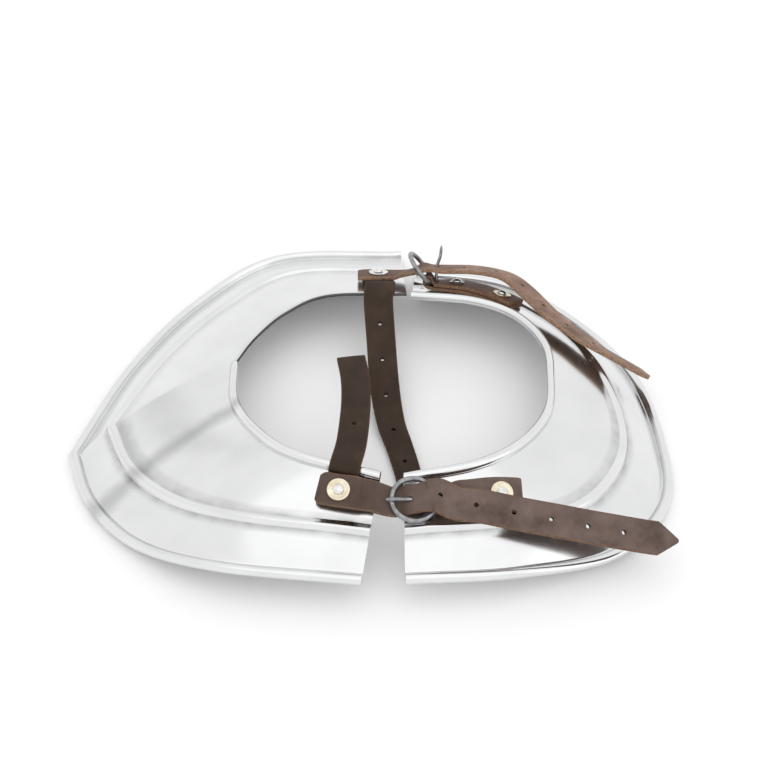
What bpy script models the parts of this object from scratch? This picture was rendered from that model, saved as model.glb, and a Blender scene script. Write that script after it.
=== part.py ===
"""Gorget: two raised steel halves held together at the front and rear by strap and ring buckle.

Metres, +Z up. The front faces -Y, the wearer's right half lies at -X and is called left here,
as it stands on the left seen from the front. The gorget rests on its shoulder and rear rims.
"""

import math
from collections import namedtuple

import bmesh
import bpy
from mathutils import Matrix, Vector
from mathutils.bvhtree import BVHTree

# Sheet steel, its rolled edges and its embossed rib
STEEL_THICKNESS = 0.0015
NECK_ROLL_RADIUS = 0.0030
RIM_ROLL_RADIUS = 0.0033
RIB_HALF_WIDTH = 0.0036
RIB_HEIGHT = 0.0026
RIB_INSET = 0.0310
SECTIONS_PER_HALF = 32
SHARP_ANGLE = 50.0

# Overall sizes that the section tables below are shares of
NECK_HALF_WIDTH = 0.100
NECK_HALF_DEPTH = 0.090
NECK_CENTRE_Y = 0.010
COLLAR_HEIGHT = 0.050
SHOULDER_REACH = 0.200
CAPE_HALF_DEPTH = 0.160
CAPE_CENTRE_Y = 0.020
RIM_LIFT = 0.020
DOME_HEIGHT = 0.010

# Leather, wire and fasteners
GAP = 0.0003
STRAP_WIDTH = 0.020
LEATHER_THICKNESS = 0.0028
LEATHER_BEVEL = 0.0005
HOLE_RADIUS = 0.0014
RING_RADIUS = 0.01265
RING_WIRE_RADIUS = 0.0016
RING_SEGMENTS = 32
FRONT_RING_TILT = 4.5
REAR_RING_TILT = 51.0
TONGUE_RADIUS = 0.0011
FOLD_WIDTH = 0.62
SHANK_RADIUS = 0.0016
SPARE_HOLE_RADIUS = 0.0013
SHANK_FOOT_RADIUS = 0.0027
SHANK_FOOT_HEIGHT = 0.0010
HEAD_RADIUS = 0.0033
HEAD_HEIGHT = 0.0020
WASHER_RADIUS = 0.0067
WASHER_THICKNESS = 0.0007

Section = namedtuple("Section", "neck_out neck_back neck_up rim_out rim_back rim_up dome rib")

# One row for each section from the front end to the rear end, the fifth row on the shoulder crest
LEFT_SECTIONS = (
    Section(0.10, -1.01, 1.06, 0.088, -1.00, 0.90, 0.20, 1.00),
    Section(0.61, -0.88, 1.08, 0.515, -0.97, 0.85, 0.50, 1.12),
    Section(0.88, -0.62, 0.96, 0.780, -0.83, 0.22, 0.90, 1.12),
    Section(1.06, -0.27, 0.82, 0.965, -0.62, 0.02, 1.00, 1.05),
    Section(1.12, 0.17, 0.76, 1.070, -0.38, 0.00, 1.10, 1.00),
    Section(1.03, 0.48, 0.70, 0.980, 0.14, 0.00, 0.70, 1.00),
    Section(0.86, 0.76, 0.72, 0.815, 0.60, 0.03, 0.30, 1.05),
    Section(0.59, 0.96, 0.76, 0.545, 0.95, 0.20, -0.10, 1.05),
    Section(0.05, 1.03, 0.75, 0.070, 1.03, 0.20, -0.20, 1.00),
)
RIGHT_SECTIONS = (
    Section(0.03, -1.00, 1.04, 0.038, -0.98, 0.85, 0.20, 1.00),
    Section(0.43, -0.87, 1.05, 0.370, -0.91, 0.72, 0.40, 1.06),
    Section(0.70, -0.63, 0.98, 0.655, -0.75, 0.16, 0.70, 1.15),
    Section(0.87, -0.27, 0.88, 0.825, -0.49, 0.03, 0.80, 1.25),
    Section(0.90, 0.14, 0.82, 0.848, -0.19, 0.00, 0.80, 1.20),
    Section(0.87, 0.48, 0.78, 0.783, 0.23, 0.00, 0.60, 1.20),
    Section(0.70, 0.77, 0.78, 0.602, 0.58, 0.00, 0.40, 1.22),
    Section(0.41, 0.91, 0.80, 0.335, 0.84, 0.06, 0.25, 1.22),
    Section(-0.02, 0.97, 0.76, -0.005, 0.91, 0.04, 0.15, 1.15),
)

# Places on a plate: shares of its length and width, leather layers below, strap width, back lean
Stop = namedtuple("Stop", "station across layers width lean", defaults=(0.0,))
# Places beside a ring: shares of its radius, of a strap's height over its wire, sideways shift
Pass = namedtuple("Pass", "along rise width side", defaults=(0.0,))
# Places in the neck opening: shares of its half width, its half depth and the collar height
Free = namedtuple("Free", "out back up width")
# Holes along a strap, measured in strap widths
Punch = namedtuple("Punch", "first pitch count")
# Rivets through a plate: shares of its length and width, share of a washer's radius, scallops
Fastener = namedtuple("Fastener", "name station across washer scallops")

FRONT_STRAP_FIXED = (
    Stop(0.067, 0.270, 0.95, 0.78),
    Stop(0.061, 0.270, 1.00, 1.00),
    Stop(0.043, 0.269, 1.00, 1.00),
    Stop(0.023, 0.262, 1.00, 1.00),
    Stop(0.008, 0.252, 0.85, 0.95),
)
FRONT_STRAP_PASS = (
    Pass(-1.00, -1.02, 0.88),
    Pass(-0.50, -0.97, 0.87),
    Pass(0.00, -0.12, 0.87),
    Pass(0.40, 0.66, 0.87),
    Pass(0.66, 1.08, 0.92),
    Pass(1.05, 1.27, 1.00),
)
FRONT_STRAP_TAIL = (
    Stop(0.071, 0.390, 3.45, 1.00),
    Stop(0.100, 0.440, 3.70, 1.00),
    Stop(0.144, 0.564, 4.60, 1.00),
    Stop(0.183, 0.666, 5.50, 1.00),
    Stop(0.212, 0.745, 6.40, 1.00),
    Stop(0.261, 0.890, 8.30, 1.00),
    Stop(0.279, 0.952, 9.40, 1.00),
    Stop(0.296, 1.015, 10.40, 0.12),
)
FRONT_BUCKLE_LANE = (
    Stop(0.045, 0.300, 0.0, 1.0),
    Stop(0.090, 0.318, 0.0, 1.0),
    Stop(0.132, 0.342, 0.0, 1.0),
    Stop(0.172, 0.401, 0.0, 1.0),
)
REAR_STRAP_FIXED = (
    Stop(0.942, 0.364, 0.85, 0.90),
    Stop(0.948, 0.364, 0.90, 1.00),
    Stop(0.967, 0.363, 1.00, 1.00),
    Stop(0.996, 0.350, 1.30, 0.88),
)
REAR_STRAP_PASS = (
    Pass(0.10, 0.00, 0.80, 0.05),
)
REAR_STRAP_TAIL = (
    Stop(0.950, 0.339, 4.60, 1.00),
    Stop(0.905, 0.343, 5.00, 1.00),
    Stop(0.868, 0.355, 5.15, 1.00),
    Stop(0.838, 0.343, 5.15, 1.00),
    Stop(0.806, 0.311, 4.45, 1.00, 0.05),
    Stop(0.757, 0.272, 3.30, 1.00, 0.15),
    Stop(0.708, 0.297, 2.30, 1.00, 0.25),
    Stop(0.664, 0.379, 2.10, 1.00, 0.32),
    Stop(0.631, 0.486, 2.30, 1.00, 0.36),
    Stop(0.602, 0.708, 3.50, 1.00, 0.36),
    Stop(0.596, 0.774, 4.00, 1.00, 0.32),
    Stop(0.590, 0.850, 4.60, 0.12, 0.20),
)
REAR_BUCKLE_LANE = (
    Stop(0.968, 0.345, 0.0, 1.0),
    Stop(0.930, 0.350, 0.0, 1.0),
    Stop(0.890, 0.330, 0.0, 1.0),
    Stop(0.840, 0.275, 0.0, 1.0),
    Stop(0.798, 0.248, 0.0, 1.0),
)
HANGING_STRAP_FIXED = (
    Stop(0.967, 0.477, 0.0, 1.05),
    Stop(0.967, 0.363, 0.0, 1.05),
    Stop(0.965, 0.190, 0.0, 1.05),
    Stop(0.962, 0.105, 0.75, 1.05),
    Stop(0.960, 0.035, 1.60, 1.05),
)
HANGING_STRAP_FREE = (
    Free(-0.243, 0.900, 0.734, 1.03),
    Free(-0.207, 0.611, 0.500, 1.00),
    Free(-0.157, 0.222, 0.250, 1.00),
    Free(-0.098, -0.067, 0.095, 0.93),
    Free(-0.030, -0.278, 0.045, 0.88),
    Free(0.040, -0.533, 0.027, 0.85),
    Free(0.090, -0.800, 0.025, 0.85),
)
UPRIGHT_STRAP_FIXED = (
    Stop(0.043, 0.365, 0.0, 0.92),
    Stop(0.043, 0.269, 0.0, 0.92),
    Stop(0.045, 0.150, 0.00, 0.92),
    Stop(0.046, 0.085, 0.75, 0.92),
    Stop(0.047, 0.038, 1.50, 0.92),
)
UPRIGHT_STRAP_FREE = (
    Free(-0.290, -0.800, 1.088, 0.92),
    Free(-0.293, -0.456, 1.068, 0.92),
    Free(-0.320, -0.167, 1.038, 0.92),
    Free(-0.364, 0.060, 1.008, 0.92),
)

FRONT_STRAP_HOLES = Punch(3.70, 1.09, 6)
REAR_STRAP_HOLES = Punch(4.15, 1.13, 6)
HANGING_STRAP_HOLES = Punch(3.73, 1.38, 5)
UPRIGHT_STRAP_HOLES = Punch(2.9, 1.20, 1)

FRONT_LEFT_RIVET = Fastener("front_left", 0.043, 0.269, 1.0, 0)
FRONT_RIGHT_RIVET = Fastener("front_right", 0.142, 0.350, 1.0, 0)
REAR_LEFT_RIVET = Fastener("rear_left", 0.967, 0.363, 1.06, 12)
REAR_INNER_RIVET = Fastener("rear_right_inner", 0.926, 0.340, 0.80, 0)
REAR_OUTER_RIVET = Fastener("rear_right_outer", 0.836, 0.268, 0.95, 0)
SPARE_HOLE = Fastener("spare_hole", 0.985, 0.390, 0.0, 0)

# Points of the buckle tongues: shares of the ring's radius and of the loop round its wire
FRONT_TONGUE = ((0.50, 0.45), (0.00, 0.25), (-0.50, 0.60), (-1.00, 1.03), (-1.31, 0.87))
REAR_TONGUE = ((0.25, 1.00), (0.26, 3.00), (0.29, 4.30), (0.43, 6.40), (0.47, 8.70))


def clear_scene():
    for item in list(bpy.data.objects):
        bpy.data.objects.remove(item, do_unlink=True)


def make_material(name, colour, roughness, metallic):
    material = bpy.data.materials.new(name)
    material.use_nodes = True
    shader = material.node_tree.nodes["Principled BSDF"]
    shader.inputs["Base Color"].default_value = (*colour, 1.0)
    shader.inputs["Roughness"].default_value = roughness
    shader.inputs["Metallic"].default_value = metallic
    return material


def cubic(before, start, end, after, share):
    """Value between start and end on a curve that also passes through before and after."""
    slope_in = (end - before) / 2
    slope_out = (after - start) / 2
    square = share * share
    cube = square * share
    return (
        (2 * cube - 3 * square + 1) * start
        + (cube - 2 * square + share) * slope_in
        + (3 * square - 2 * cube) * end
        + (cube - square) * slope_out
    )


class Half:
    """One shell of the gorget: a grid of points between its neck edge and its rim."""

    def __init__(self, side, rows, creased):
        self.side = side
        self.rows = rows
        self.creased = creased

    def column(self, name, station):
        values = [getattr(row, name) for row in self.rows]
        spans = len(values) - 1
        place = min(max(station, 0.0), 1.0) * spans
        first = min(int(place), spans - 1)
        low = 0
        high = spans
        if self.creased:
            if first < spans // 2:
                high = spans // 2
            else:
                low = spans // 2
        start = values[first]
        end = values[first + 1]
        before = values[first - 1] if first > low else 2 * start - end
        after = values[first + 2] if first + 2 <= high else 2 * end - start
        return cubic(before, start, end, after, place - first)

    def neck(self, station):
        return Vector((
            self.side * NECK_HALF_WIDTH * self.column("neck_out", station),
            NECK_CENTRE_Y + NECK_HALF_DEPTH * self.column("neck_back", station),
            COLLAR_HEIGHT * self.column("neck_up", station),
        ))

    def rim(self, station):
        return Vector((
            self.side * SHOULDER_REACH * self.column("rim_out", station),
            CAPE_CENTRE_Y + CAPE_HALF_DEPTH * self.column("rim_back", station),
            RIM_ROLL_RADIUS + RIM_LIFT * self.column("rim_up", station),
        ))

    def width(self, station):
        return (self.rim(station) - self.neck(station)).length

    def rib_inset(self, station):
        return RIB_INSET * self.column("rib", station)

    def middle(self, station, inset):
        """Point of the sheet's middle at a distance from the neck edge."""
        neck = self.neck(station)
        rim = self.rim(station)
        share = inset / (rim - neck).length
        dome = 4 * DOME_HEIGHT * self.column("dome", station) * share * (1 - share)
        return neck.lerp(rim, share) + Vector((0, 0, dome))

    def frame(self, station, inset):
        """Point, direction towards the rim, and upward normal of the sheet."""
        step = 0.0015
        spread = 0.012
        low = max(station - spread, 0.0)
        high = min(station + spread, 1.0)
        along = self.middle(high, inset) - self.middle(low, inset)
        outward = self.middle(station, inset + step) - self.middle(station, inset - step)
        outward.normalize()
        normal = outward.cross(along)
        if normal.z < 0:
            normal.negate()
        normal.normalize()
        return self.middle(station, inset), outward, normal


def roll_points(radius, first_angle, turns):
    """Points round a rolled edge as pairs of outward and upward distance from the sheet."""
    centre_up = radius - STEEL_THICKNESS / 2
    points = []
    for turn in range(turns):
        angle = math.radians(first_angle - 45 * turn)
        points.append((radius * math.cos(angle), centre_up + radius * math.sin(angle)))
    return points


def plate_profile(width, rib_inset):
    """Closed outline of the sheet's section as rows of inset, outward shift and upward shift."""
    top = STEEL_THICKNESS / 2
    outline = []
    for shift, up in roll_points(NECK_ROLL_RADIUS, -90, 7):
        outline.append((NECK_ROLL_RADIUS, shift, up))
    outline.append((NECK_ROLL_RADIUS, NECK_ROLL_RADIUS * 0.87, top))
    rib = width - rib_inset
    for share in (0.3, 0.65):
        outline.append((rib * share, 0.0, top))
    bump = ((-1.0, 0.0), (-0.62, 0.72), (0.0, 1.0), (0.62, 0.72), (1.0, 0.0))
    for shift, rise in bump:
        outline.append((rib + RIB_HALF_WIDTH * shift, 0.0, top + RIB_HEIGHT * rise))
    outer = width - RIM_ROLL_RADIUS
    outline.append(((rib + outer) / 2, 0.0, top))
    outline.append((outer, -RIM_ROLL_RADIUS * 0.87, top))
    for shift, up in roll_points(RIM_ROLL_RADIUS, 180, 7):
        outline.append((outer, shift, up))
    outline.append(((rib + outer) / 2, 0.0, -top))
    for shift, rise in reversed(bump):
        outline.append((rib + RIB_HALF_WIDTH * shift, 0.0, RIB_HEIGHT * rise - top))
    for share in (0.65, 0.3):
        outline.append((rib * share, 0.0, -top))
    return outline


def add_object(name, mesh_builder, material):
    mesh = bpy.data.meshes.new(name)
    bmesh.ops.recalc_face_normals(mesh_builder, faces=mesh_builder.faces)
    mesh_builder.to_mesh(mesh)
    mesh_builder.free()
    mesh.materials.append(material)
    mesh.shade_smooth()
    mesh.set_sharp_from_angle(angle=math.radians(SHARP_ANGLE))
    piece = bpy.data.objects.new(name, mesh)
    bpy.context.scene.collection.objects.link(piece)
    return piece


def loft(name, rings, material):
    """Closed solid through rings of points, with flat ends."""
    builder = bmesh.new()
    loops = [[builder.verts.new(point) for point in ring] for ring in rings]
    count = len(rings[0])
    for first, second in zip(loops, loops[1:]):
        for index in range(count):
            following = (index + 1) % count
            builder.faces.new((first[index], first[following], second[following], second[index]))
    builder.faces.new(loops[0])
    builder.faces.new(list(reversed(loops[-1])))
    return add_object(name, builder, material)


def build_plate(name, half, material):
    rings = []
    for index in range(SECTIONS_PER_HALF + 1):
        station = index / SECTIONS_PER_HALF
        ring = []
        for inset, shift, up in plate_profile(half.width(station), half.rib_inset(station)):
            point, outward, normal = half.frame(station, inset)
            ring.append(point + outward * shift + normal * up)
        rings.append(ring)
    return loft(name, rings, material)


Frame = namedtuple("Frame", "point normal width")
Slice = namedtuple("Slice", "point along across normal width distance")
Ring = namedtuple("Ring", "centre out across up")


def on_plate(half, stop):
    """Place for the underside of a strap above a plate's steel."""
    inset = stop.across * half.width(stop.station)
    point, _, normal = half.frame(stop.station, inset)
    height = STEEL_THICKNESS / 2 + GAP + stop.layers * (LEATHER_THICKNESS + GAP)
    leaning = normal + Vector((-stop.lean * half.side, stop.lean, 0))
    return Frame(point + normal * height, leaning.normalized(), stop.width * STRAP_WIDTH)


def beside_ring(ring, stop, normal):
    room = RING_WIRE_RADIUS + GAP + LEATHER_THICKNESS
    beside = ring.out * stop.along + ring.across * stop.side
    point = ring.centre + beside * RING_RADIUS + ring.up * (room * stop.rise)
    return Frame(point, normal, stop.width * STRAP_WIDTH)


def in_opening(stop):
    point = Vector((
        NECK_HALF_WIDTH * stop.out,
        NECK_CENTRE_Y + NECK_HALF_DEPTH * stop.back,
        RIM_ROLL_RADIUS + COLLAR_HEIGHT * stop.up,
    ))
    return Frame(point, Vector((0, 0, 1)), stop.width * STRAP_WIDTH)


def trace(frames, steps):
    """Slices along a smooth line through the frames, the widths in straight runs."""
    places = []
    last = len(frames) - 1
    for first in range(last):
        start = frames[first]
        end = frames[first + 1]
        before = frames[first - 1].point if first else start.point * 2 - end.point
        after = frames[first + 2].point if first + 2 <= last else end.point * 2 - start.point
        for step in range(steps):
            share = step / steps
            places.append(Frame(
                cubic(before, start.point, end.point, after, share),
                start.normal.lerp(end.normal, share),
                start.width + (end.width - start.width) * share,
            ))
    places.append(frames[-1])
    slices = []
    distance = 0.0
    for index, place in enumerate(places):
        previous = places[max(index - 1, 0)].point
        following = places[min(index + 1, len(places) - 1)].point
        along = (following - previous).normalized()
        across = along.cross(place.normal).normalized()
        distance += (place.point - previous).length
        slices.append(Slice(
            place.point, along, across, across.cross(along), place.width, distance
        ))
    return slices


def surface_tree(piece):
    points = [vertex.co for vertex in piece.data.vertices]
    faces = [tuple(face.vertices) for face in piece.data.polygons]
    return BVHTree.FromPolygons(points, faces)


def rest_on(slices, pieces):
    """Lift the slices where the pieces beneath them come closer than the gap."""
    trees = [surface_tree(piece) for piece in pieces]
    reach = 3 * LEATHER_THICKNESS
    needs = []
    for index, here in enumerate(slices):
        ahead = slices[min(index + 1, len(slices) - 1)].distance - here.distance
        behind = here.distance - slices[max(index - 1, 0)].distance
        need = 0.0
        for step in (-behind / 2, 0.0, ahead / 2):
            for share in (-1.0, -0.5, 0.0, 0.5, 1.0):
                spot = here.point + here.across * (share * here.width / 2) + here.along * step
                for tree in trees:
                    hit = tree.ray_cast(spot + here.normal * reach, -here.normal, 2 * reach)[0]
                    if hit:
                        need = max(need, (hit - spot).dot(here.normal) + 2 * GAP)
        needs.append(need)
    lifted = []
    for index, here in enumerate(slices):
        around = needs[max(index - 1, 0):index + 2]
        lift = max(needs[index], (max(around) + sum(around) / len(around)) / 2)
        lifted.append(here._replace(point=here.point + here.normal * lift))
    return lifted


def ribbon(name, slices, material):
    """Strap with bevelled edges whose underside follows the slices."""
    top = LEATHER_THICKNESS
    bevel = LEATHER_BEVEL
    rings = []
    for piece in slices:
        half = piece.width / 2
        outline = (
            (-half + bevel, 0), (half - bevel, 0), (half, bevel), (half, top - bevel),
            (half - bevel, top), (-half + bevel, top), (-half, top - bevel), (-half, bevel),
        )
        rings.append([piece.point + piece.across * x + piece.normal * z for x, z in outline])
    return loft(name, rings, material)


def slice_at(slices, distance):
    """Slice at a distance, carried on straight before the first one."""
    first = slices[0]
    if distance <= 0:
        return first._replace(point=first.point + first.along * distance)
    for low, high in zip(slices, slices[1:]):
        if distance <= high.distance:
            break
    share = min((distance - low.distance) / (high.distance - low.distance), 1.0)
    mixed = [start.lerp(end, share) for start, end in zip(low[:4], high[:4])]
    return Slice(*mixed, low.width, distance)


class Lane:
    """Underside of a folded buckle strap on a plate, from the ring's wire on."""

    def __init__(self, half, stops, plate):
        self.slices = rest_on(trace([on_plate(half, stop) for stop in stops], 8), [plate])
        self.length = self.slices[-1].distance

    def at(self, distance):
        return slice_at(self.slices, distance)


def hang_ring(lane, tilt):
    """Ring whose wire lies in the fold at the start of a lane, its other side lifted."""
    start = lane.at(0)
    angle = math.radians(tilt)
    out = -start.along * math.cos(angle) + start.normal * math.sin(angle)
    up = start.normal * math.cos(angle) + start.along * math.sin(angle)
    wire = start.point + start.normal * (2 * GAP + LEATHER_THICKNESS + RING_WIRE_RADIUS)
    return Ring(wire + out * RING_RADIUS, -out, start.across, up)


def build_ring(name, ring, material):
    builder = bmesh.new()
    loops = []
    for turn in range(RING_SEGMENTS):
        angle = math.tau * turn / RING_SEGMENTS
        radial = ring.out * math.cos(angle) + ring.across * math.sin(angle)
        loop = []
        for side in range(8):
            tilt = math.tau * side / 8
            reach = RING_RADIUS + RING_WIRE_RADIUS * math.cos(tilt)
            point = ring.centre + radial * reach + ring.up * (RING_WIRE_RADIUS * math.sin(tilt))
            loop.append(builder.verts.new(point))
        loops.append(loop)
    for index, loop in enumerate(loops):
        following = loops[(index + 1) % RING_SEGMENTS]
        for side in range(8):
            other = (side + 1) % 8
            builder.faces.new((loop[side], loop[other], following[other], following[side]))
    return add_object(name, builder, material)


def build_fold(name, lane, ring, material):
    """Buckle strap doubled round the ring's wire, its outer layer on top of its inner one."""
    wire = ring.centre + ring.out * RING_RADIUS
    cavity = RING_WIRE_RADIUS + 2.2 * GAP
    lower = LEATHER_THICKNESS
    flat = [lane.length * share for share in (1.0, 0.97, 0.72, 0.48, 0.27, 0.12)]
    rows = [(distance, lower, -90, 0.0) for distance in flat]
    rows += [(0.0, 0.0, angle, 1.0) for angle in (-90, -135, -180, -225, -270)]
    rows += [(distance, lower + GAP, 90, 0.0) for distance in reversed(flat)]
    rings = []
    for distance, height, angle, follow in rows:
        turn = math.radians(angle)
        here = lane.at(distance)
        if distance > lane.length * 0.98:
            width = 0.90
        elif follow:
            width = FOLD_WIDTH
        elif distance < lane.length * 0.2:
            width = (1 + FOLD_WIDTH) / 2
        else:
            width = 1.0
        inner = []
        outer = []
        for share in (-1.0, -0.5, 0.0, 0.5, 1.0):
            side = share * width * STRAP_WIDTH / 2
            facing = here.along * math.cos(turn) + here.normal * math.sin(turn)
            if follow:
                stretch = 1 / math.sqrt(1 - (side / RING_RADIUS) ** 2)
                base = wire - ring.out * (RING_RADIUS - RING_RADIUS / stretch)
                slant = facing + ring.out * (facing.dot(ring.out) * (stretch - 1))
                point = base + here.across * side + slant * cavity
            else:
                point = here.point + here.across * side + here.normal * height
            inner.append(point)
            outer.append(point + facing * LEATHER_THICKNESS)
        rings.append(inner + list(reversed(outer)))
    return loft(name, rings, material)


def spin(name, origin, axis, reference, outline, segments, scallop, hollow, material):
    """Turned solid from rows of radius and height; a hollow one has a closed outline."""
    side = (reference - axis * reference.dot(axis)).normalized()
    other = axis.cross(side)
    widest = max(radius for radius, _ in outline)
    builder = bmesh.new()
    loops = []
    for radius, height in outline:
        loop = []
        for turn in range(segments):
            angle = math.tau * turn / segments
            wave = 1 - scallop * (turn % 2) if radius == widest else 1
            radial = side * math.cos(angle) + other * math.sin(angle)
            loop.append(builder.verts.new(origin + radial * (radius * wave) + axis * height))
        loops.append(loop)
    pairs = list(zip(loops, loops[1:]))
    if hollow:
        pairs.append((loops[-1], loops[0]))
    else:
        builder.faces.new(list(reversed(loops[0])))
        builder.faces.new(loops[-1])
    for low, high in pairs:
        for turn in range(segments):
            following = (turn + 1) % segments
            builder.faces.new((low[turn], low[following], high[following], high[turn]))
    return add_object(name, builder, material)


def tube(name, points, side, radius, material):
    """Round wire through points that all lie in the plane at right angles to a side."""
    rings = []
    for index, point in enumerate(points):
        previous = points[max(index - 1, 0)]
        following = points[min(index + 1, len(points) - 1)]
        up = side.cross((following - previous).normalized())
        rings.append([
            point + (side * math.cos(turn) + up * math.sin(turn)) * radius
            for turn in [math.tau * step / 8 for step in range(8)]
        ])
    return loft(name, rings, material)


def block(name, start, low, high, width, material):
    """Box along a lane's first slice between two pairs of distance and height."""
    half = width / 2
    corners = []
    for distance, height in (low, (high[0], low[1]), high, (low[0], high[1])):
        corners.append(start.point + start.along * distance + start.normal * height)
    rings = [[corner + start.across * side for corner in corners] for side in (-half, half)]
    return loft(name, rings, material)


def cut(piece, cutters):
    """Take the cutters out of a piece for good."""
    for cutter in cutters:
        modifier = piece.modifiers.new("cut", "BOOLEAN")
        modifier.operation = "DIFFERENCE"
        modifier.solver = "EXACT"
        modifier.object = cutter
    graph = bpy.context.evaluated_depsgraph_get()
    baked = bpy.data.meshes.new_from_object(piece.evaluated_get(graph))
    piece.modifiers.clear()
    piece.data = baked
    for cutter in cutters:
        bpy.data.objects.remove(cutter, do_unlink=True)


def punch(slices, pattern, material):
    """Cutters for a strap's row of holes."""
    cutters = []
    for index in range(pattern.count):
        distance = STRAP_WIDTH * (pattern.first + pattern.pitch * index)
        here = slice_at(slices, distance)
        outline = ((HOLE_RADIUS, -LEATHER_THICKNESS), (HOLE_RADIUS, 2 * LEATHER_THICKNESS))
        cutters.append(spin(
            "hole", here.point, here.normal, here.along, outline, 10, 0.0, False, material
        ))
    return cutters


def rivet_seat(half, fastener, plate):
    """Place of a rivet on top of the faceted steel, its axis and a direction beside it."""
    inset = fastener.across * half.width(fastener.station)
    point, outward, normal = half.frame(fastener.station, inset)
    above = point + normal * RIM_ROLL_RADIUS
    hit = surface_tree(plate).ray_cast(above, -normal, 2 * RIM_ROLL_RADIUS)[0]
    return hit, normal, outward


def bore(seat, radius, material):
    """Cutter for a round hole through the steel and both layers of leather."""
    origin, normal, outward = seat
    outline = ((radius, -4 * STEEL_THICKNESS), (radius, 3 * (LEATHER_THICKNESS + GAP)))
    return spin("bore", origin, normal, outward, outline, 12, 0.0, False, material)


def height_over(place, radius, piece):
    """Greatest height of a piece within a radius of a rivet."""
    origin, normal, outward = place
    tree = surface_tree(piece)
    reach = 4 * LEATHER_THICKNESS
    spots = [Vector((0, 0, 0))]
    for turn in range(8):
        angle = math.tau * turn / 8
        side = outward * math.cos(angle) + normal.cross(outward) * math.sin(angle)
        spots += [side * radius, side * (radius / 2)]
    hits = [tree.ray_cast(origin + spot + normal * reach, -normal, reach)[0] for spot in spots]
    return max((hit - origin).dot(normal) for hit in hits if hit)


def build_rivet(fastener, place, leather_top, rivet_material, washer_material):
    origin, normal, outward = place
    under = -STEEL_THICKNESS - 1.5 * GAP
    low = leather_top + 1.3 * GAP
    high = low + WASHER_THICKNESS
    seat = high + GAP
    outline = (
        (SHANK_FOOT_RADIUS * 0.8, under - SHANK_FOOT_HEIGHT),
        (SHANK_FOOT_RADIUS, under),
        (SHANK_RADIUS, under),
        (SHANK_RADIUS, seat),
        (HEAD_RADIUS, seat),
        (HEAD_RADIUS * 0.90, seat + HEAD_HEIGHT * 0.45),
        (HEAD_RADIUS * 0.62, seat + HEAD_HEIGHT * 0.82),
        (HEAD_RADIUS * 0.25, seat + HEAD_HEIGHT),
    )
    spin(fastener.name + "_rivet", origin, normal, outward, outline, 12, 0.0, False,
         rivet_material)
    hole = SHANK_RADIUS + GAP
    rim = WASHER_RADIUS * fastener.washer
    outline = ((hole, low), (rim, low), (rim, high), (hole, high))
    segments = 2 * fastener.scallops if fastener.scallops else 16
    scallop = 0.09 if fastener.scallops else 0.0
    spin(fastener.name + "_washer", origin, normal, outward, outline, segments, scallop, True,
         washer_material)


def tongue_points(lane, ring, start_angle, end_angle, rows, upright):
    """Loop round the ring's wire, then the points of the table."""
    start = lane.at(0)
    wire = ring.centre + ring.out * RING_RADIUS
    reach = RING_WIRE_RADIUS + 1.4 * GAP + TONGUE_RADIUS
    turns = 8
    points = []
    for index in range(turns + 1):
        angle = math.radians(start_angle + (end_angle - start_angle) * index / turns)
        facing = start.along * math.cos(angle) + start.normal * math.sin(angle)
        points.append(wire + facing * reach)
    for along, rise in rows:
        if upright:
            points.append(
                wire + start.along * (RING_RADIUS * along) + start.normal * (reach * rise)
            )
        else:
            points.append(
                ring.centre + ring.out * (RING_RADIUS * along) + ring.up * (reach * rise)
            )
    return points


def slot(lane, material):
    """Cutter that opens the fold for the tongue's loop."""
    reach = RING_WIRE_RADIUS + 2 * GAP + 2 * TONGUE_RADIUS
    fold = RING_WIRE_RADIUS + 2 * GAP + LEATHER_THICKNESS
    low = (-fold * 1.4, -GAP / 2)
    high = (reach * 1.15, 3 * fold)
    width = 2 * TONGUE_RADIUS + 4 * GAP
    return block("slot", lane.at(0), low, high, width, material)


def settle():
    """Move everything so that it stands on the ground around the origin."""
    pieces = list(bpy.context.scene.collection.objects)
    points = [vertex.co for piece in pieces for vertex in piece.data.vertices]
    low = [min(point[axis] for point in points) for axis in range(3)]
    high = [max(point[axis] for point in points) for axis in range(3)]
    shift = Vector((-(low[0] + high[0]) / 2, -(low[1] + high[1]) / 2, -low[2]))
    for piece in pieces:
        piece.data.transform(Matrix.Translation(shift))


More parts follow.
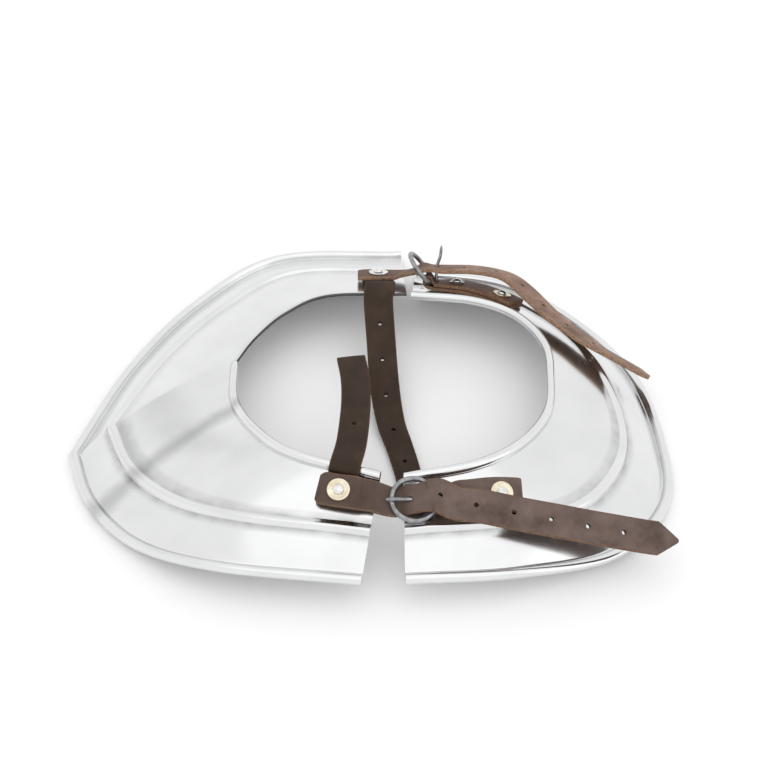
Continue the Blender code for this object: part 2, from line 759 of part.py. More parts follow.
def main():
    clear_scene()
    steel = make_material("polished_steel", (0.86, 0.87, 0.88), 0.12, 1.0)
    leather = make_material("brown_leather", (0.20, 0.12, 0.08), 0.55, 0.0)
    iron = make_material("grey_iron", (0.42, 0.41, 0.40), 0.40, 1.0)
    brass = make_material("pale_brass", (0.80, 0.74, 0.58), 0.30, 1.0)
    left = Half(-1, LEFT_SECTIONS, True)
    right = Half(1, RIGHT_SECTIONS, False)
    left_plate = build_plate("left_plate", left, steel)
    right_plate = build_plate("right_plate", right, steel)

    front_lane = Lane(right, FRONT_BUCKLE_LANE, right_plate)
    rear_lane = Lane(right, REAR_BUCKLE_LANE, right_plate)
    front_ring = hang_ring(front_lane, FRONT_RING_TILT)
    rear_ring = hang_ring(rear_lane, REAR_RING_TILT)
    front_left = rivet_seat(left, FRONT_LEFT_RIVET, left_plate)
    front_right = rivet_seat(right, FRONT_RIGHT_RIVET, right_plate)
    rear_left = rivet_seat(left, REAR_LEFT_RIVET, left_plate)
    rear_inner = rivet_seat(right, REAR_INNER_RIVET, right_plate)
    rear_outer = rivet_seat(right, REAR_OUTER_RIVET, right_plate)

    front_fold = build_fold("front_buckle_strap", front_lane, front_ring, leather)
    rear_fold = build_fold("rear_buckle_strap", rear_lane, rear_ring, leather)
    frames = [on_plate(left, stop) for stop in HANGING_STRAP_FIXED]
    frames += [in_opening(stop) for stop in HANGING_STRAP_FREE]
    hanging_slices = rest_on(trace(frames, 2), [left_plate])
    hanging_strap = ribbon("hanging_strap", hanging_slices, leather)
    frames = [on_plate(left, stop) for stop in UPRIGHT_STRAP_FIXED]
    frames += [in_opening(stop) for stop in UPRIGHT_STRAP_FREE]
    upright_slices = rest_on(trace(frames, 3), [left_plate])
    upright_strap = ribbon("upright_strap", upright_slices, leather)
    frames = [on_plate(left, stop) for stop in FRONT_STRAP_FIXED]
    frames += [beside_ring(front_ring, stop, front_ring.up) for stop in FRONT_STRAP_PASS]
    frames += [on_plate(right, stop) for stop in FRONT_STRAP_TAIL]
    front_slices = rest_on(trace(frames, 2), [left_plate, upright_strap, front_fold])
    front_strap = ribbon("front_strap", front_slices, leather)
    frames = [on_plate(left, stop) for stop in REAR_STRAP_FIXED]
    frames += [beside_ring(rear_ring, stop, -rear_ring.out) for stop in REAR_STRAP_PASS]
    frames += [on_plate(right, stop) for stop in REAR_STRAP_TAIL]
    rear_slices = rest_on(trace(frames, 2), [left_plate, hanging_strap, rear_fold])
    rear_strap = ribbon("rear_strap", rear_slices, leather)
    build_ring("front_buckle_ring", front_ring, iron)
    build_ring("rear_buckle_ring", rear_ring, iron)

    front_points = tongue_points(front_lane, front_ring, -160, 90, FRONT_TONGUE, False)
    rear_points = tongue_points(rear_lane, rear_ring, -250, 0, REAR_TONGUE, True)
    tube("front_buckle_tongue", front_points, front_ring.across, TONGUE_RADIUS, iron)
    tube("rear_buckle_tongue", rear_points, rear_ring.across, TONGUE_RADIUS, iron)
    clear = TONGUE_RADIUS + 1.2 * GAP
    front_clear = tube("clear", front_points, front_ring.across, clear, iron)
    rear_clear = tube("clear", rear_points, rear_ring.across, clear, iron)

    for fastener, place, leather_piece, metal in (
        (FRONT_LEFT_RIVET, front_left, front_strap, brass),
        (FRONT_RIGHT_RIVET, front_right, front_fold, brass),
        (REAR_LEFT_RIVET, rear_left, rear_strap, iron),
        (REAR_INNER_RIVET, rear_inner, rear_fold, iron),
        (REAR_OUTER_RIVET, rear_outer, rear_fold, brass),
    ):
        radius = WASHER_RADIUS * fastener.washer
        build_rivet(fastener, place, height_over(place, radius, leather_piece), iron, metal)

    hole = SHANK_RADIUS + GAP
    spare = rivet_seat(right, SPARE_HOLE, right_plate)
    cut(left_plate, [bore(seat, hole, iron) for seat in (front_left, rear_left)])
    cut(right_plate, [bore(seat, hole, iron) for seat in (front_right, rear_inner, rear_outer)]
        + [bore(spare, SPARE_HOLE_RADIUS, iron)])
    cut(front_strap, punch(front_slices, FRONT_STRAP_HOLES, iron)
        + [bore(front_left, hole, iron), front_clear])
    cut(rear_strap, punch(rear_slices, REAR_STRAP_HOLES, iron)
        + [bore(rear_left, hole, iron), rear_clear])
    cut(hanging_strap, punch(hanging_slices, HANGING_STRAP_HOLES, iron)
        + [bore(rear_left, hole, iron)])
    cut(upright_strap, punch(upright_slices, UPRIGHT_STRAP_HOLES, iron)
        + [bore(front_left, hole, iron)])
    cut(front_fold, [slot(front_lane, iron), bore(front_right, hole, iron)])
    cut(rear_fold, [slot(rear_lane, iron)]
        + [bore(seat, hole, iron) for seat in (rear_inner, rear_outer)])
    settle()


main()
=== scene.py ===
"""Gorget in polished steel with brown leather straps, lying on a pale studio floor."""

import math
from collections import namedtuple

import bmesh
import bpy
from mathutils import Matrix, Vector
from mathutils.bvhtree import BVHTree


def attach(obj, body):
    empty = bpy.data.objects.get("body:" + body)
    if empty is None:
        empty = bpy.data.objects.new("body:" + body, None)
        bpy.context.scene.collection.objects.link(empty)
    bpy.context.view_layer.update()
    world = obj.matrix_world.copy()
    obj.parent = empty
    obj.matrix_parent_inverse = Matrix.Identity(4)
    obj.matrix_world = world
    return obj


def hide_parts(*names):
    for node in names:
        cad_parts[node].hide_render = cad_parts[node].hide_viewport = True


STEEL_THICKNESS = 0.0015
NECK_ROLL_RADIUS = 0.0030
RIM_ROLL_RADIUS = 0.0033
HEM_RADIUS = 0.0011
RIB_HALF_WIDTH = 0.0036
RIB_HEIGHT = 0.0026
RIB_INSET = 0.0310

NECK_HALF_WIDTH = 0.100
NECK_HALF_DEPTH = 0.090
NECK_CENTRE_Y = 0.010
COLLAR_HEIGHT = 0.050
SHOULDER_REACH = 0.200
CAPE_HALF_DEPTH = 0.160
CAPE_CENTRE_Y = 0.020
RIM_LIFT = 0.020
DOME_HEIGHT = 0.010

GAP = 0.0003
STRAP_WIDTH = 0.020
LEATHER_THICKNESS = 0.0028
HOLE_RADIUS = 0.0014
RING_RADIUS = 0.01265
RING_WIRE_RADIUS = 0.0016
FRONT_RING_TILT = 4.5
REAR_RING_TILT = 51.0
TONGUE_RADIUS = 0.0011
FOLD_WIDTH = 0.62
SHANK_RADIUS = 0.0016
SPARE_HOLE_RADIUS = 0.0013
SHANK_FOOT_RADIUS = 0.0027
SHANK_FOOT_HEIGHT = 0.0010
HEAD_RADIUS = 0.0033
HEAD_HEIGHT = 0.0020
WASHER_RADIUS = 0.0067
WASHER_THICKNESS = 0.0007

# From the gorget's own middle to the place where it lies
AS_IT_LIES = Vector((0.021697, -0.021917, -0.004199))

Section = namedtuple("Section", "neck_out neck_back neck_up rim_out rim_back rim_up dome rib")

LEFT_SECTIONS = (
    Section(0.10, -1.01, 1.06, 0.088, -1.00, 0.90, 0.20, 1.00),
    Section(0.61, -0.88, 1.08, 0.515, -0.97, 0.85, 0.50, 1.12),
    Section(0.88, -0.62, 0.96, 0.780, -0.83, 0.22, 0.90, 1.12),
    Section(1.06, -0.27, 0.82, 0.965, -0.62, 0.02, 1.00, 1.05),
    Section(1.12, 0.17, 0.76, 1.070, -0.38, 0.00, 1.10, 1.00),
    Section(1.03, 0.48, 0.70, 0.980, 0.14, 0.00, 0.70, 1.00),
    Section(0.86, 0.76, 0.72, 0.815, 0.60, 0.03, 0.30, 1.05),
    Section(0.59, 0.96, 0.76, 0.545, 0.95, 0.20, -0.10, 1.05),
    Section(0.05, 1.03, 0.75, 0.070, 1.03, 0.20, -0.20, 1.00),
)
RIGHT_SECTIONS = (
    Section(0.03, -1.00, 1.04, 0.038, -0.98, 0.85, 0.20, 1.00),
    Section(0.43, -0.87, 1.05, 0.370, -0.91, 0.72, 0.40, 1.06),
    Section(0.70, -0.63, 0.98, 0.655, -0.75, 0.16, 0.70, 1.15),
    Section(0.87, -0.27, 0.88, 0.825, -0.49, 0.03, 0.80, 1.25),
    Section(0.90, 0.14, 0.82, 0.848, -0.19, 0.00, 0.80, 1.20),
    Section(0.87, 0.48, 0.78, 0.783, 0.23, 0.00, 0.60, 1.20),
    Section(0.70, 0.77, 0.78, 0.602, 0.58, 0.00, 0.40, 1.22),
    Section(0.41, 0.91, 0.80, 0.335, 0.84, 0.06, 0.25, 1.22),
    Section(-0.02, 0.97, 0.76, -0.005, 0.91, 0.04, 0.15, 1.15),
)

Stop = namedtuple("Stop", "station across layers width lean", defaults=(0.0,))
Pass = namedtuple("Pass", "along rise width side", defaults=(0.0,))
Free = namedtuple("Free", "out back up width")
Punch = namedtuple("Punch", "first pitch count")
Fastener = namedtuple("Fastener", "name station across washer scallops")

FRONT_STRAP_FIXED = (
    Stop(0.067, 0.270, 0.95, 0.78),
    Stop(0.061, 0.270, 1.00, 1.00),
    Stop(0.043, 0.269, 1.00, 1.00),
    Stop(0.023, 0.262, 1.00, 1.00),
    Stop(0.008, 0.252, 0.85, 0.95),
)
FRONT_STRAP_PASS = (
    Pass(-1.00, -1.02, 0.88),
    Pass(-0.50, -0.97, 0.87),
    Pass(0.00, -0.12, 0.87),
    Pass(0.40, 0.66, 0.87),
    Pass(0.66, 1.08, 0.92),
    Pass(1.05, 1.27, 1.00),
)
FRONT_STRAP_TAIL = (
    Stop(0.071, 0.390, 3.45, 1.00),
    Stop(0.100, 0.440, 3.70, 1.00),
    Stop(0.144, 0.564, 4.60, 1.00),
    Stop(0.183, 0.666, 5.50, 1.00),
    Stop(0.212, 0.745, 6.40, 1.00),
    Stop(0.261, 0.890, 8.30, 1.00),
    Stop(0.279, 0.952, 9.40, 1.00),
    Stop(0.296, 1.015, 10.40, 0.12),
)
FRONT_BUCKLE_LANE = (
    Stop(0.045, 0.300, 0.0, 1.0),
    Stop(0.090, 0.318, 0.0, 1.0),
    Stop(0.132, 0.342, 0.0, 1.0),
    Stop(0.172, 0.401, 0.0, 1.0),
)
REAR_STRAP_FIXED = (
    Stop(0.942, 0.364, 0.85, 0.90),
    Stop(0.948, 0.364, 0.90, 1.00),
    Stop(0.967, 0.363, 1.00, 1.00),
    Stop(0.996, 0.350, 1.30, 0.88),
)
REAR_STRAP_PASS = (
    Pass(0.10, 0.00, 0.80, 0.05),
)
REAR_STRAP_TAIL = (
    Stop(0.950, 0.339, 4.60, 1.00),
    Stop(0.905, 0.343, 5.00, 1.00),
    Stop(0.868, 0.355, 5.15, 1.00),
    Stop(0.838, 0.343, 5.15, 1.00),
    Stop(0.806, 0.311, 4.45, 1.00, 0.05),
    Stop(0.757, 0.272, 3.30, 1.00, 0.15),
    Stop(0.708, 0.297, 2.30, 1.00, 0.25),
    Stop(0.664, 0.379, 2.10, 1.00, 0.32),
    Stop(0.631, 0.486, 2.30, 1.00, 0.36),
    Stop(0.602, 0.708, 3.50, 1.00, 0.36),
    Stop(0.596, 0.774, 4.00, 1.00, 0.32),
    Stop(0.590, 0.850, 4.60, 0.12, 0.20),
)
REAR_BUCKLE_LANE = (
    Stop(0.968, 0.345, 0.0, 1.0),
    Stop(0.930, 0.350, 0.0, 1.0),
    Stop(0.890, 0.330, 0.0, 1.0),
    Stop(0.840, 0.275, 0.0, 1.0),
    Stop(0.798, 0.248, 0.0, 1.0),
)
HANGING_STRAP_FIXED = (
    Stop(0.967, 0.477, 0.0, 1.05),
    Stop(0.967, 0.363, 0.0, 1.05),
    Stop(0.965, 0.190, 0.0, 1.05),
    Stop(0.962, 0.105, 0.75, 1.05),
    Stop(0.960, 0.035, 1.60, 1.05),
)
HANGING_STRAP_FREE = (
    Free(-0.243, 0.900, 0.734, 1.03),
    Free(-0.207, 0.611, 0.500, 1.00),
    Free(-0.157, 0.222, 0.250, 1.00),
    Free(-0.098, -0.067, 0.095, 0.93),
    Free(-0.030, -0.278, 0.045, 0.88),
    Free(0.040, -0.533, 0.027, 0.85),
    Free(0.090, -0.800, 0.025, 0.85),
)
UPRIGHT_STRAP_FIXED = (
    Stop(0.043, 0.365, 0.0, 0.92),
    Stop(0.043, 0.269, 0.0, 0.92),
    Stop(0.045, 0.150, 0.00, 0.92),
    Stop(0.046, 0.085, 0.75, 0.92),
    Stop(0.047, 0.038, 1.50, 0.92),
)
UPRIGHT_STRAP_FREE = (
    Free(-0.290, -0.800, 1.088, 0.92),
    Free(-0.293, -0.456, 1.068, 0.92),
    Free(-0.320, -0.167, 1.038, 0.92),
    Free(-0.364, 0.060, 1.008, 0.92),
)

FRONT_STRAP_HOLES = Punch(3.70, 1.09, 6)
REAR_STRAP_HOLES = Punch(4.15, 1.13, 6)
HANGING_STRAP_HOLES = Punch(3.73, 1.38, 5)
UPRIGHT_STRAP_HOLES = Punch(2.9, 1.20, 1)

FRONT_LEFT_RIVET = Fastener("front_left", 0.043, 0.269, 1.0, 0)
FRONT_RIGHT_RIVET = Fastener("front_right", 0.142, 0.350, 1.0, 0)
REAR_LEFT_RIVET = Fastener("rear_left", 0.967, 0.363, 1.06, 12)
REAR_INNER_RIVET = Fastener("rear_right_inner", 0.926, 0.340, 0.80, 0)
REAR_OUTER_RIVET = Fastener("rear_right_outer", 0.836, 0.268, 0.95, 0)
SPARE_HOLE = Fastener("spare_hole", 0.985, 0.390, 0.0, 0)

FRONT_TONGUE = ((0.50, 0.45), (0.00, 0.25), (-0.50, 0.60), (-1.00, 1.03), (-1.31, 0.87))
REAR_TONGUE = ((0.25, 1.00), (0.26, 3.00), (0.29, 4.30), (0.43, 6.40), (0.47, 8.70))

SKY_STRENGTH = 1.08
# Height in the sky, level
SKY_LEVELS = ((0.0, 0.98), (0.06, 0.98), (0.35, 0.95), (0.60, 0.94), (0.80, 0.95), (0.97, 1.02))
# A direction, and the distances from it where the screen is whole and where it has faded
GREY_SCREEN = (-0.58, 0.62, 0.54)
SCREEN_INNER = 0.03
SCREEN_OUTER = 0.22
SCREEN_LEVEL = 0.80

CAMERA_PLACE = (0.0468, -0.5850, 0.5854)
CAMERA_TARGET = (0.0060, 0.0020, 0.0209)
CAMERA_LENS = 57.33
SENSOR_WIDTH = 36.0

PLATE_SECTIONS = 192
CREASE_STATION = 0.5
CREASE_FADE = 0.025
# Painted dark reflection band across the left half: its station, the half width and the depth
PAINTED_REFLECTION_BAND_STATION = 0.365
PAINTED_REFLECTION_BAND_HALF_WIDTH = 0.030
PAINTED_REFLECTION_BAND_DEPTH = 0.30
# Dark colour painted on the steel for shade and for the dark reflection band
PAINTED_SHADE_TONE = (0.035, 0.035, 0.038)

# Painted shade lines where the rolls and the rib meet the sheet: zone of the section, half width,
# depth
PAINTED_SHADE_LINES = (
    (0.97, 0.10, 0.50),
    (2.03, 0.12, 0.55),
    (2.97, 0.14, 0.70),
    (3.98, 0.10, 0.65),
    (4.90, 0.12, 0.60),
)

# Surface finishes

class Value:
    """A number that varies over a surface; sums and products of it add their own nodes."""

    def __init__(self, finish, socket):
        self.finish = finish
        self.socket = socket

    def joined(self, operation, first, second):
        return self.finish.node("Math", {"operation": operation}, {0: first, 1: second})

    def __add__(self, other):
        return self.joined("ADD", self, other)

    def __radd__(self, other):
        return self.joined("ADD", other, self)

    def __sub__(self, other):
        return self.joined("SUBTRACT", self, other)

    def __rsub__(self, other):
        return self.joined("SUBTRACT", other, self)

    def __mul__(self, other):
        return self.joined("MULTIPLY", self, other)

    def __rmul__(self, other):
        return self.joined("MULTIPLY", other, self)

    def __abs__(self):
        return self.joined("ABSOLUTE", self, 0.0)

    def least(self, other):
        return self.joined("MINIMUM", self, other)

    def most(self, other):
        return self.joined("MAXIMUM", self, other)

    def between(self, low, high):
        """0 below low, 1 above high, and a smooth step from one to the other."""
        return self.finish.node(
            "MapRange",
            {"interpolation_type": "SMOOTHSTEP"},
            {"Value": self, "From Min": low, "From Max": high},
        )


class Finish:
    """A procedural material that is built up from its nodes."""

    def __init__(self, name, metallic, gloss=0.5):
        self.material = bpy.data.materials.new(name)
        self.material.use_nodes = True
        self.tree = self.material.node_tree
        self.shader = self.tree.nodes["Principled BSDF"]
        self.shader.inputs["Metallic"].default_value = metallic
        self.shader.inputs["Specular IOR Level"].default_value = gloss

    def node(self, kind, settings=None, inputs=None, output=0):
        item = self.tree.nodes.new("ShaderNode" + kind)
        for name, setting in (settings or {}).items():
            if name == "stops":
                while len(item.color_ramp.elements) < len(setting):
                    item.color_ramp.elements.new(0.5)
                for element, (place, colour) in zip(item.color_ramp.elements, setting):
                    element.position = place
                    element.color = (*colour, 1.0)
            else:
                setattr(item, name, setting)
        for name, source in (inputs or {}).items():
            self.feed(item.inputs[name], source)
        return Value(self, item.outputs[output])

    def feed(self, socket, source):
        if isinstance(source, Value):
            self.tree.links.new(source.socket, socket)
        elif isinstance(source, tuple) and len(source) == 3 and socket.type == "RGBA":
            socket.default_value = (*source, 1.0)
        else:
            socket.default_value = source

    def place(self):
        return self.node("TexCoord", output="Object")

    def strip(self):
        """Place along a strap, in metres, and round its section, 1 at the top face's edges."""
        return self.node("UVMap", {"uv_map": "strap"})

    def stretched(self, vector, scale):
        return self.node("Mapping", None, {"Vector": vector, "Scale": scale})

    def noise(self, vector, scale, detail=3.0, roughness=0.5):
        return self.node("TexNoise", None, {
            "Vector": vector, "Scale": scale, "Detail": detail, "Roughness": roughness,
        })

    def cells(self, vector, scale):
        return self.node(
            "TexVoronoi", {"feature": "DISTANCE_TO_EDGE"}, {"Vector": vector, "Scale": scale}
        )

    def mixed(self, share, first, second):
        mix = self.tree.nodes.new("ShaderNodeMix")
        mix.data_type = "RGBA"
        self.feed(mix.inputs["Factor"], share)
        self.feed(mix.inputs[6], first)
        self.feed(mix.inputs[7], second)
        return Value(self, mix.outputs[2])

    def ramp(self, share, stops):
        return self.node("ValToRGB", {"stops": stops}, {"Fac": share})

    def bumped(self, height, strength, distance, below=None):
        inputs = {"Height": height, "Strength": strength, "Distance": distance}
        if below:
            inputs["Normal"] = below
        return self.node("Bump", None, inputs)

    def surface(self, **sources):
        for name, source in sources.items():
            self.feed(self.shader.inputs[name.replace("_", " ")], source)
        return self.material


def polished_steel(name):
    """Hand-polished sheet: nearly a mirror, with soft waves and rubbed lines; painted shade darkens
    its hollows and its rear-left neck edge, and a painted dark reflection band crosses the left
    half.
    """
    finish = Finish(name, 1.0)
    place = finish.place()
    waves = finish.noise(place, 14.0, 1.0)
    cloud = finish.noise(place, 38.0, 4.0)
    lines = finish.noise(finish.stretched(place, (60.0, 900.0, 200.0)), 1.0, 2.0)
    rubbed = finish.noise(finish.stretched(place, (700.0, 90.0, 300.0)), 1.0, 2.0)
    marks = lines * 0.5 + rubbed * 0.5
    bright = finish.ramp(cloud, ((0.25, (0.735, 0.738, 0.742)), (0.75, (0.80, 0.803, 0.807))))
    strip = finish.strip()
    station = finish.node("SeparateXYZ", None, {"Vector": strip}, output="X")
    zone = finish.node("SeparateXYZ", None, {"Vector": strip}, output="Y")
    patches = finish.noise(place, 90.0, 3.0)
    # Painted dark reflection band across the left half, at a fixed station
    aside = abs(station + cloud * 0.030 - PAINTED_REFLECTION_BAND_STATION)
    hollow = (1 - aside.between(0.0, PAINTED_REFLECTION_BAND_HALF_WIDTH)) * PAINTED_REFLECTION_BAND_DEPTH
    # Painted shade lines, broken up by noise, where the rolls and the rib meet the sheet
    for centre, half_width, depth in PAINTED_SHADE_LINES:
        near = 1 - abs(zone - centre).between(0.0, half_width)
        hollow = near * (patches * depth) + hollow
    # The painted shade lines are weakened on the rear-left half
    hollow = hollow * (1 - station.between(0.47, 0.53) * 0.60)
    # Painted shade: the turned-under neck roll on the rear-left half is darkened as if in shadow
    edge = (1 - zone.between(0.88, 0.98)) * station.between(0.498, 0.502)
    dark = hollow.most(edge * 0.92)
    # All painted shade and the painted reflection band are mixed into the steel's colour here
    colour = finish.mixed(dark, bright, PAINTED_SHADE_TONE)
    roughness = 0.14 + cloud * 0.10 + (marks - 0.5) * 0.10
    slow = finish.bumped(waves, 0.25, 0.004)
    fine = finish.bumped(marks, 0.04, 0.0004, slow)
    return finish.surface(Base_Color=colour, Roughness=roughness, Normal=fine)


def strap_leather(name, dark, mid, light, bare, sheen_low, sheen_high, end_darkening=0.0):
    """Waxed strap leather: grained top, paler cut edges, rough flesh side, darker riveted end."""
    finish = Finish(name, 0.0, 0.20)
    place = finish.place()
    strip = finish.strip()
    parts = finish.node("SeparateXYZ", None, {"Vector": strip}, output="Y")
    section = abs(parts)
    cloud = finish.noise(place, 55.0, 5.0, 0.6)
    grain = finish.cells(place, 900.0)
    pores = finish.noise(place, 1800.0, 3.0, 0.6)
    body = finish.ramp(cloud, ((0.25, dark), (0.52, mid), (0.80, light)))
    creases = finish.noise(finish.stretched(place, (160.0, 160.0, 160.0)), 1.0, 4.0, 0.65)
    worn = creases.between(0.55, 0.78) * 0.35
    top = finish.mixed(worn, body, light)
    along = finish.node("SeparateXYZ", None, {"Vector": strip}, output="X")
    # Darker over the first 30 mm from the strap's riveted start, fading out by 85 mm
    top = finish.mixed((1 - along.between(0.030, 0.085)) * end_darkening, top, dark)
    fibres = finish.noise(place, 1200.0, 4.0, 0.7)
    edge_tone = finish.mixed(fibres.between(0.3, 0.7), dark, bare)
    edge = section.between(0.96, 1.03)
    flesh = section.between(1.24, 1.30)
    flesh_tone = finish.mixed(fibres, dark, mid)
    shade = finish.mixed(edge, top, edge_tone)
    shade = finish.mixed(flesh, shade, flesh_tone)
    height = grain.least(0.12) * 4.0 + pores * 0.35
    rough = finish.bumped(height, 0.35, 0.00012)
    soft = finish.bumped(creases, 0.25, 0.0006, rough)
    gloss = sheen_low + cloud * (sheen_high - sheen_low) + edge * 0.25
    return finish.surface(Base_Color=shade, Roughness=gloss, Normal=soft)


def worn_iron(name, dark, light, roughness):
    """Dull wire with pale rubbed spots and fine pits."""
    finish = Finish(name, 1.0)
    place = finish.place()
    cloud = finish.noise(place, 260.0, 4.0, 0.6)
    pits = finish.noise(place, 1500.0, 3.0, 0.6)
    tone = finish.ramp(cloud, ((0.30, dark), (0.70, light)))
    gloss = roughness + (cloud - 0.5) * 0.25
    relief = finish.bumped(pits + cloud, 0.25, 0.00025)
    return finish.surface(Base_Color=tone, Roughness=gloss, Normal=relief)


# Shapes

def cubic(before, start, end, after, share):
    """Value between start and end on a curve that also passes through before and after."""
    slope_in = (end - before) / 2
    slope_out = (after - start) / 2
    square = share * share
    cube = square * share
    return (
        (2 * cube - 3 * square + 1) * start
        + (cube - 2 * square + share) * slope_in
        + (3 * square - 2 * cube) * end
        + (cube - square) * slope_out
    )


class Half:
    """One shell of the gorget: a grid of points between its neck edge and its rim."""

    def __init__(self, side, rows, creased):
        self.side = side
        self.rows = rows
        self.creased = creased

    def column(self, name, station):
        values = [getattr(row, name) for row in self.rows]
        spans = len(values) - 1
        place = min(max(station, 0.0), 1.0) * spans
        first = min(int(place), spans - 1)
        low = 0
        high = spans
        if self.creased:
            if first < spans // 2:
                high = spans // 2
            else:
                low = spans // 2
        start = values[first]
        end = values[first + 1]
        before = values[first - 1] if first > low else 2 * start - end
        after = values[first + 2] if first + 2 <= high else 2 * end - start
        return cubic(before, start, end, after, place - first)

    def neck(self, station):
        return Vector((
            self.side * NECK_HALF_WIDTH * self.column("neck_out", station),
            NECK_CENTRE_Y + NECK_HALF_DEPTH * self.column("neck_back", station),
            COLLAR_HEIGHT * self.column("neck_up", station),
        )) + AS_IT_LIES

    def rim(self, station):
        return Vector((
            self.side * SHOULDER_REACH * self.column("rim_out", station),
            CAPE_CENTRE_Y + CAPE_HALF_DEPTH * self.column("rim_back", station),
            RIM_ROLL_RADIUS + RIM_LIFT * self.column("rim_up", station),
        )) + AS_IT_LIES

    def width(self, station):
        return (self.rim(station) - self.neck(station)).length

    def rib_inset(self, station):
        return RIB_INSET * self.column("rib", station)

    def middle(self, station, inset):
        neck = self.neck(station)
        rim = self.rim(station)
        share = inset / (rim - neck).length
        dome = 4 * DOME_HEIGHT * self.column("dome", station) * share * (1 - share)
        return neck.lerp(rim, share) + Vector((0, 0, dome))

    def frame(self, station, inset, spread=0.012):
        step = 0.0015
        low = max(station - spread, 0.0)
        high = min(station + spread, 1.0)
        along = self.middle(high, inset) - self.middle(low, inset)
        outward = self.middle(station, inset + step) - self.middle(station, inset - step)
        outward.normalize()
        normal = outward.cross(along)
        if normal.z < 0:
            normal.negate()
        normal.normalize()
        return self.middle(station, inset), outward, normal


def roll_points(radius, first_angle, turns, angle_step):
    centre_up = radius - STEEL_THICKNESS / 2
    points = []
    for turn in range(turns):
        angle = math.radians(first_angle - angle_step * turn)
        points.append((radius * math.cos(angle), centre_up + radius * math.sin(angle)))
    return points


def neck_points(radius, turned_under):
    """Rolled neck edge with the fillet that meets the sheet, above the sheet or under it."""
    top = STEEL_THICKNESS / 2
    roll = roll_points(radius, -90, 19, 15)
    fillet = [(radius * 0.97, top * 1.6), (radius * 1.08, top)]
    points = roll + fillet
    if turned_under:
        points = [(shift, -up) for shift, up in reversed(points)]
    return [(NECK_ROLL_RADIUS, shift, up) for shift, up in points]


def plate_profile(width, rib_inset, neck_radius, turned_under):
    """Closed outline of the sheet's section as rows of inset, outward shift, upward shift, zone."""
    top = STEEL_THICKNESS / 2
    neck = neck_points(neck_radius, turned_under)
    outline = [(*point, index / len(neck)) for index, point in enumerate(neck)]
    rib = width - rib_inset
    start = NECK_ROLL_RADIUS * 2.3
    end = rib - RIB_HALF_WIDTH * 1.3
    sheet = [start + (end - start) * index / 12 for index in range(12)]
    outline += [(inset, 0.0, top, 1.05 + index / 12) for index, inset in enumerate(sheet)]
    bump = []
    for index in range(-8, 9):
        share = index / 8
        swell = (math.cos(math.pi * share) + 1) / 2
        bump.append((share * 1.12, swell ** 0.72))
    for index, (shift, rise) in enumerate(bump):
        outline.append((rib + RIB_HALF_WIDTH * shift, 0.0, top + RIB_HEIGHT * rise, 2 + index / 16))
    outer = width - RIM_ROLL_RADIUS
    inner = rib + RIB_HALF_WIDTH * 1.4
    flange = [inner + (outer - RIM_ROLL_RADIUS * 1.3 - inner) * index / 6 for index in range(1, 7)]
    outline += [(inset, 0.0, top, 3.1 + index / 8) for index, inset in enumerate(flange)]
    outline.append((outer, -RIM_ROLL_RADIUS * 1.08, top, 3.95))
    outline.append((outer, -RIM_ROLL_RADIUS * 0.97, top * 1.6, 4.0))
    for index, (shift, up) in enumerate(roll_points(RIM_ROLL_RADIUS, 180, 19, 15)):
        outline.append((outer, shift, up, 4.05 + index / 20))
    outline += [(inset, 0.0, -top, 5.5) for inset in reversed(flange)]
    for shift, rise in reversed(bump):
        outline.append((rib + RIB_HALF_WIDTH * shift, 0.0, RIB_HEIGHT * rise - top, 5.5))
    outline += [(inset, 0.0, -top, 5.5) for inset in reversed(sheet)]
    return outline


def add_object(name, builder, material, sharp=40.0):
    mesh = bpy.data.meshes.new(name)
    bmesh.ops.recalc_face_normals(builder, faces=builder.faces)
    builder.to_mesh(mesh)
    builder.free()
    mesh.materials.append(material)
    mesh.shade_smooth()
    mesh.set_sharp_from_angle(angle=math.radians(sharp))
    piece = bpy.data.objects.new(name, mesh)
    bpy.context.scene.collection.objects.link(piece)
    return piece


def loft(name, rings, material, marks=None, sharp=40.0):
    """Closed solid through rings of points; marks hold the places along and round its section."""
    builder = bmesh.new()
    layer = builder.loops.layers.uv.new("strap") if marks else None
    loops = [[builder.verts.new(point) for point in ring] for ring in rings]
    count = len(rings[0])
    for row in range(len(loops) - 1):
        first = loops[row]
        second = loops[row + 1]
        for index in range(count):
            following = (index + 1) % count
            face = builder.faces.new((
                first[index], first[following], second[following], second[index]
            ))
            if layer:
                around = marks[1]
                spots = ((row, index), (row, index + 1), (row + 1, index + 1), (row + 1, index))
                for corner, (step, place) in zip(face.loops, spots):
                    corner[layer].uv = (marks[0][step], around[place])
    for cap in (loops[0], list(reversed(loops[-1]))):
        face = builder.faces.new(cap)
        if layer:
            for corner in face.loops:
                corner[layer].uv = (marks[0][0], 1.12)
    return add_object(name, builder, material, sharp)


def build_plate(name, half, material):
    """Shell with its rolled edges; behind a crease the neck edge is turned under."""
    rings = []
    count = PLATE_SECTIONS
    for index in range(count + 1):
        station = index / count
        turned_under = half.creased and station > CREASE_STATION
        neck_radius = NECK_ROLL_RADIUS
        if half.creased:
            fade = min(max((CREASE_STATION - station) / CREASE_FADE, 0.0), 1.0)
            neck_radius = HEM_RADIUS + (NECK_ROLL_RADIUS - HEM_RADIUS) * math.sqrt(fade)
        ring = []
        profile = plate_profile(
            half.width(station), half.rib_inset(station), neck_radius, turned_under
        )
        for inset, shift, up, _ in profile:
            point, outward, normal = half.frame(station, inset, 0.012)
            ring.append(point + outward * shift + normal * up)
        rings.append(ring)
    zones = [row[3] for row in profile]
    stations = [half.creased * index / count for index in range(count + 1)]
    return loft(name, rings, material, (stations, zones + [zones[-1]]), 55.0)


